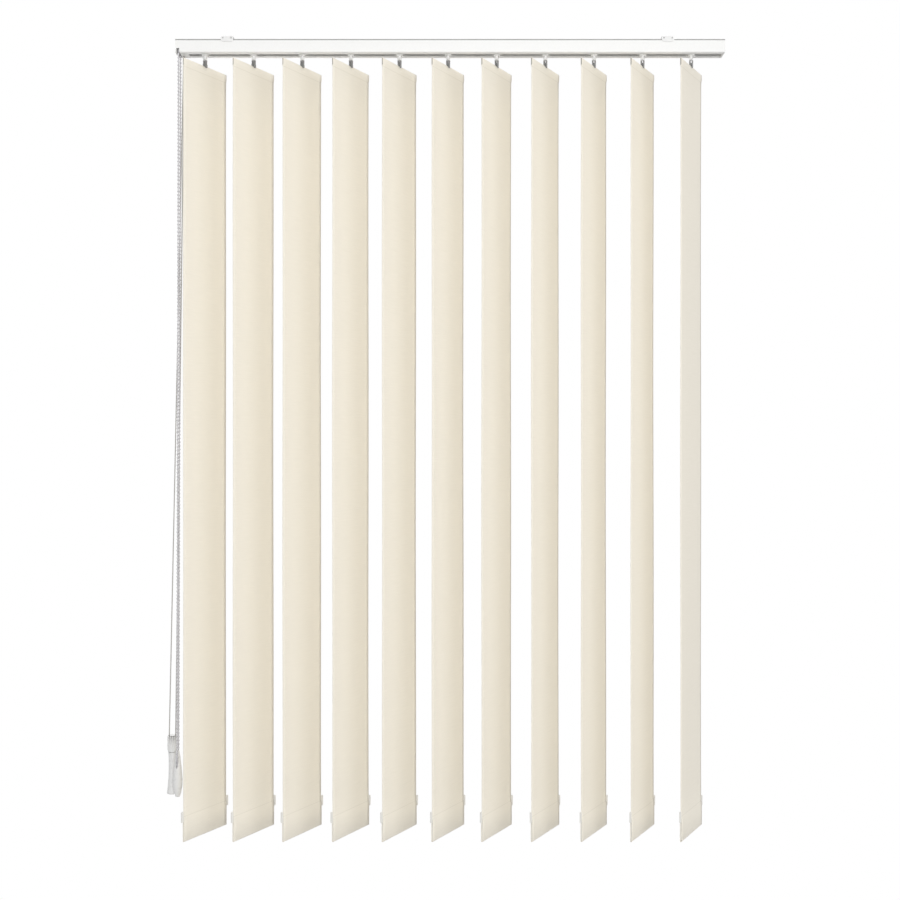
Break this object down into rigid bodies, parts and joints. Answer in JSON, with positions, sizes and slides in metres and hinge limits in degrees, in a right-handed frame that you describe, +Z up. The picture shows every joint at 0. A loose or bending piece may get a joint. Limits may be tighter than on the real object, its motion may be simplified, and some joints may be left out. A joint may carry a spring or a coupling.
{
  "type": "vertical blind",
  "caption": "Ceiling-fixed vertical blind: slim white headrail, hanging cream fabric vanes that turn and draw aside, with a bead chain and a cord loop at one end.",
  "frame": {"origin": "on the ceiling face of the two clips, midway between their screw holes", "axes": "+X along the rail to the viewer's right, +Y away from the room, +Z up"},
  "size_m": [0.9075, 0.0806, 1.29],
  "materials": {
    "white_enamel": "satin white",
    "clip_enamel": "satin",
    "white_moulding": "satin",
    "hook_moulding": "clear grey",
    "rod_aluminium": "mill",
    "cord_braid": "braided",
    "chain_beads": "gloss",
    "weight_moulding": "satin",
    "vane_fabric": "plain weave",
    "hem_weight_moulding": "satin"
  },
  "bodies": {
    "rail": {"headrail": "white_enamel", "ceiling_clip_left": "clip_enamel", "ceiling_clip_right": "clip_enamel", "control_cap": "white_moulding", "far_cap": "white_moulding", "rail_cord": "cord_braid", "bead_chain": "chain_beads", "chain_weight": "weight_moulding", "pull_cord": "cord_braid", "cord_weight_cap": "weight_moulding", "cord_weight": "weight_moulding", "carrier_01": "white_moulding"},
    "slat_01": {"hook_01": "hook_moulding", "vane_01": "vane_fabric", "weight_01": "hem_weight_moulding"},
    "slat_02": {"hook_02": "hook_moulding", "vane_02": "vane_fabric", "weight_02": "hem_weight_moulding"},
    "runner_02": {"carrier_02": "white_moulding"},
    "slat_03": {"hook_03": "hook_moulding", "vane_03": "vane_fabric", "weight_03": "hem_weight_moulding"},
    "runner_03": {"carrier_03": "white_moulding"},
    "slat_04": {"hook_04": "hook_moulding", "vane_04": "vane_fabric", "weight_04": "hem_weight_moulding"},
    "runner_04": {"carrier_04": "white_moulding"},
    "slat_05": {"hook_05": "hook_moulding", "vane_05": "vane_fabric", "weight_05": "hem_weight_moulding"},
    "runner_05": {"carrier_05": "white_moulding"},
    "slat_06": {"hook_06": "hook_moulding", "vane_06": "vane_fabric", "weight_06": "hem_weight_moulding"},
    "runner_06": {"carrier_06": "white_moulding"},
    "slat_07": {"hook_07": "hook_moulding", "vane_07": "vane_fabric", "weight_07": "hem_weight_moulding"},
    "runner_07": {"carrier_07": "white_moulding"},
    "slat_08": {"hook_08": "hook_moulding", "vane_08": "vane_fabric", "weight_08": "hem_weight_moulding"},
    "runner_08": {"carrier_08": "white_moulding"},
    "slat_09": {"hook_09": "hook_moulding", "vane_09": "vane_fabric", "weight_09": "hem_weight_moulding"},
    "runner_09": {"carrier_09": "white_moulding"},
    "slat_10": {"hook_10": "hook_moulding", "vane_10": "vane_fabric", "weight_10": "hem_weight_moulding"},
    "runner_10": {"carrier_10": "white_moulding"},
    "slat_11": {"hook_11": "hook_moulding", "vane_11": "vane_fabric", "weight_11": "hem_weight_moulding"},
    "runner_11": {"carrier_11": "white_moulding"},
    "tilt_shaft": {"tilt_rod": "rod_aluminium", "chain_wheel": "white_moulding"},
    "front_pulley": {"front_cord_pulley": "white_moulding"},
    "rear_pulley": {"rear_cord_pulley": "white_moulding"},
    "far_pulley": {"return_pulley": "white_moulding"}
  },
  "joints": [
    {"name": "tilt", "type": "hinge", "parent": "rail", "child": "slat_01", "pos_m": [-0.394, 0, 0], "axis": [0, 0, 1], "range_deg": [-38, 108]},
    {"name": "traverse_02", "type": "slide", "parent": "rail", "child": "runner_02", "axis": [-1, 0, 0], "range_m": [0, 0.0612]},
    {"name": "tilt_02", "type": "hinge", "parent": "runner_02", "child": "slat_02", "pos_m": [-0.315, 0, 0], "axis": [0, 0, 1], "range_deg": [-38.1, 108.1]},
    {"name": "traverse_03", "type": "slide", "parent": "rail", "child": "runner_03", "axis": [-1, 0, 0], "range_m": [0, 0.1222]},
    {"name": "tilt_03", "type": "hinge", "parent": "runner_03", "child": "slat_03", "pos_m": [-0.236, 0, 0], "axis": [0, 0, 1], "range_deg": [-38.1, 108.1]},
    {"name": "traverse_04", "type": "slide", "parent": "rail", "child": "runner_04", "axis": [-1, 0, 0], "range_m": [0, 0.1832]},
    {"name": "tilt_04", "type": "hinge", "parent": "runner_04", "child": "slat_04", "pos_m": [-0.157, 0, 0], "axis": [0, 0, 1], "range_deg": [-38.1, 108.1]},
    {"name": "traverse_05", "type": "slide", "parent": "rail", "child": "runner_05", "axis": [-1, 0, 0], "range_m": [0, 0.2442]},
    {"name": "tilt_05", "type": "hinge", "parent": "runner_05", "child": "slat_05", "pos_m": [-0.078, 0, 0], "axis": [0, 0, 1], "range_deg": [-38.1, 108.1]},
    {"name": "traverse_06", "type": "slide", "parent": "rail", "child": "runner_06", "axis": [-1, 0, 0], "range_m": [0, 0.3052]},
    {"name": "tilt_06", "type": "hinge", "parent": "runner_06", "child": "slat_06", "pos_m": [0.001, 0, 0], "axis": [0, 0, 1], "range_deg": [-38.1, 108.1]},
    {"name": "traverse_07", "type": "slide", "parent": "rail", "child": "runner_07", "axis": [-1, 0, 0], "range_m": [0, 0.3662]},
    {"name": "tilt_07", "type": "hinge", "parent": "runner_07", "child": "slat_07", "pos_m": [0.08, 0, 0], "axis": [0, 0, 1], "range_deg": [-38.1, 108.1]},
    {"name": "traverse_08", "type": "slide", "parent": "rail", "child": "runner_08", "axis": [-1, 0, 0], "range_m": [0, 0.4272]},
    {"name": "tilt_08", "type": "hinge", "parent": "runner_08", "child": "slat_08", "pos_m": [0.159, 0, 0], "axis": [0, 0, 1], "range_deg": [-38.1, 108.1]},
    {"name": "traverse_09", "type": "slide", "parent": "rail", "child": "runner_09", "axis": [-1, 0, 0], "range_m": [0, 0.4882]},
    {"name": "tilt_09", "type": "hinge", "parent": "runner_09", "child": "slat_09", "pos_m": [0.238, 0, 0], "axis": [0, 0, 1], "range_deg": [-38.1, 108.1]},
    {"name": "traverse_10", "type": "slide", "parent": "rail", "child": "runner_10", "axis": [-1, 0, 0], "range_m": [0, 0.5492]},
    {"name": "tilt_10", "type": "hinge", "parent": "runner_10", "child": "slat_10", "pos_m": [0.317, 0, 0], "axis": [0, 0, 1], "range_deg": [-38.1, 108.1]},
    {"name": "traverse", "type": "slide", "parent": "rail", "child": "runner_11", "axis": [-1, 0, 0], "range_m": [0, 0.61]},
    {"name": "tilt_11", "type": "hinge", "parent": "runner_11", "child": "slat_11", "pos_m": [0.396, 0, 0], "axis": [0, 0, 1], "range_deg": [-38.1, 108.1]},
    {"name": "shaft_turn", "type": "hinge", "parent": "rail", "child": "tilt_shaft", "pos_m": [0, -0.002, -0.014], "axis": [1, 0, 0], "range_deg": [-305, 865]},
    {"name": "front_pulley_turn", "type": "hinge", "parent": "rail", "child": "front_pulley", "pos_m": [-0.4263, 0.005, -0.0115], "axis": [0, 1, 0], "range_deg": [-5, 8742.61]},
    {"name": "rear_pulley_turn", "type": "hinge", "parent": "rail", "child": "rear_pulley", "pos_m": [-0.4263, 0.0084, -0.0115], "axis": [0, 1, 0], "range_deg": [-8742.61, 5]},
    {"name": "return_pulley_turn", "type": "hinge", "parent": "rail", "child": "far_pulley", "pos_m": [0.43, 0.0039, -0.0075], "axis": [0, 0, 1], "range_deg": [-5, 7771.76]}
  ],
  "couplings": [
    {"joint": "traverse_02", "follows": "traverse", "ratio": 0.1},
    {"joint": "tilt_02", "follows": "tilt", "ratio": 1},
    {"joint": "traverse_03", "follows": "traverse", "ratio": 0.2},
    {"joint": "tilt_03", "follows": "tilt", "ratio": 1},
    {"joint": "traverse_04", "follows": "traverse", "ratio": 0.3},
    {"joint": "tilt_04", "follows": "tilt", "ratio": 1},
    {"joint": "traverse_05", "follows": "traverse", "ratio": 0.4},
    {"joint": "tilt_05", "follows": "tilt", "ratio": 1},
    {"joint": "traverse_06", "follows": "traverse", "ratio": 0.5},
    {"joint": "tilt_06", "follows": "tilt", "ratio": 1},
    {"joint": "traverse_07", "follows": "traverse", "ratio": 0.6},
    {"joint": "tilt_07", "follows": "tilt", "ratio": 1},
    {"joint": "traverse_08", "follows": "traverse", "ratio": 0.7},
    {"joint": "tilt_08", "follows": "tilt", "ratio": 1},
    {"joint": "traverse_09", "follows": "traverse", "ratio": 0.8},
    {"joint": "tilt_09", "follows": "tilt", "ratio": 1},
    {"joint": "traverse_10", "follows": "traverse", "ratio": 0.9},
    {"joint": "tilt_10", "follows": "tilt", "ratio": 1},
    {"joint": "tilt_11", "follows": "tilt", "ratio": 1},
    {"joint": "shaft_turn", "follows": "tilt", "ratio": 8},
    {"joint": "front_pulley_turn", "follows": "traverse", "rad_per_m": 250},
    {"joint": "rear_pulley_turn", "follows": "traverse", "rad_per_m": -250},
    {"joint": "return_pulley_turn", "follows": "traverse", "rad_per_m": 222.22}
  ]
}
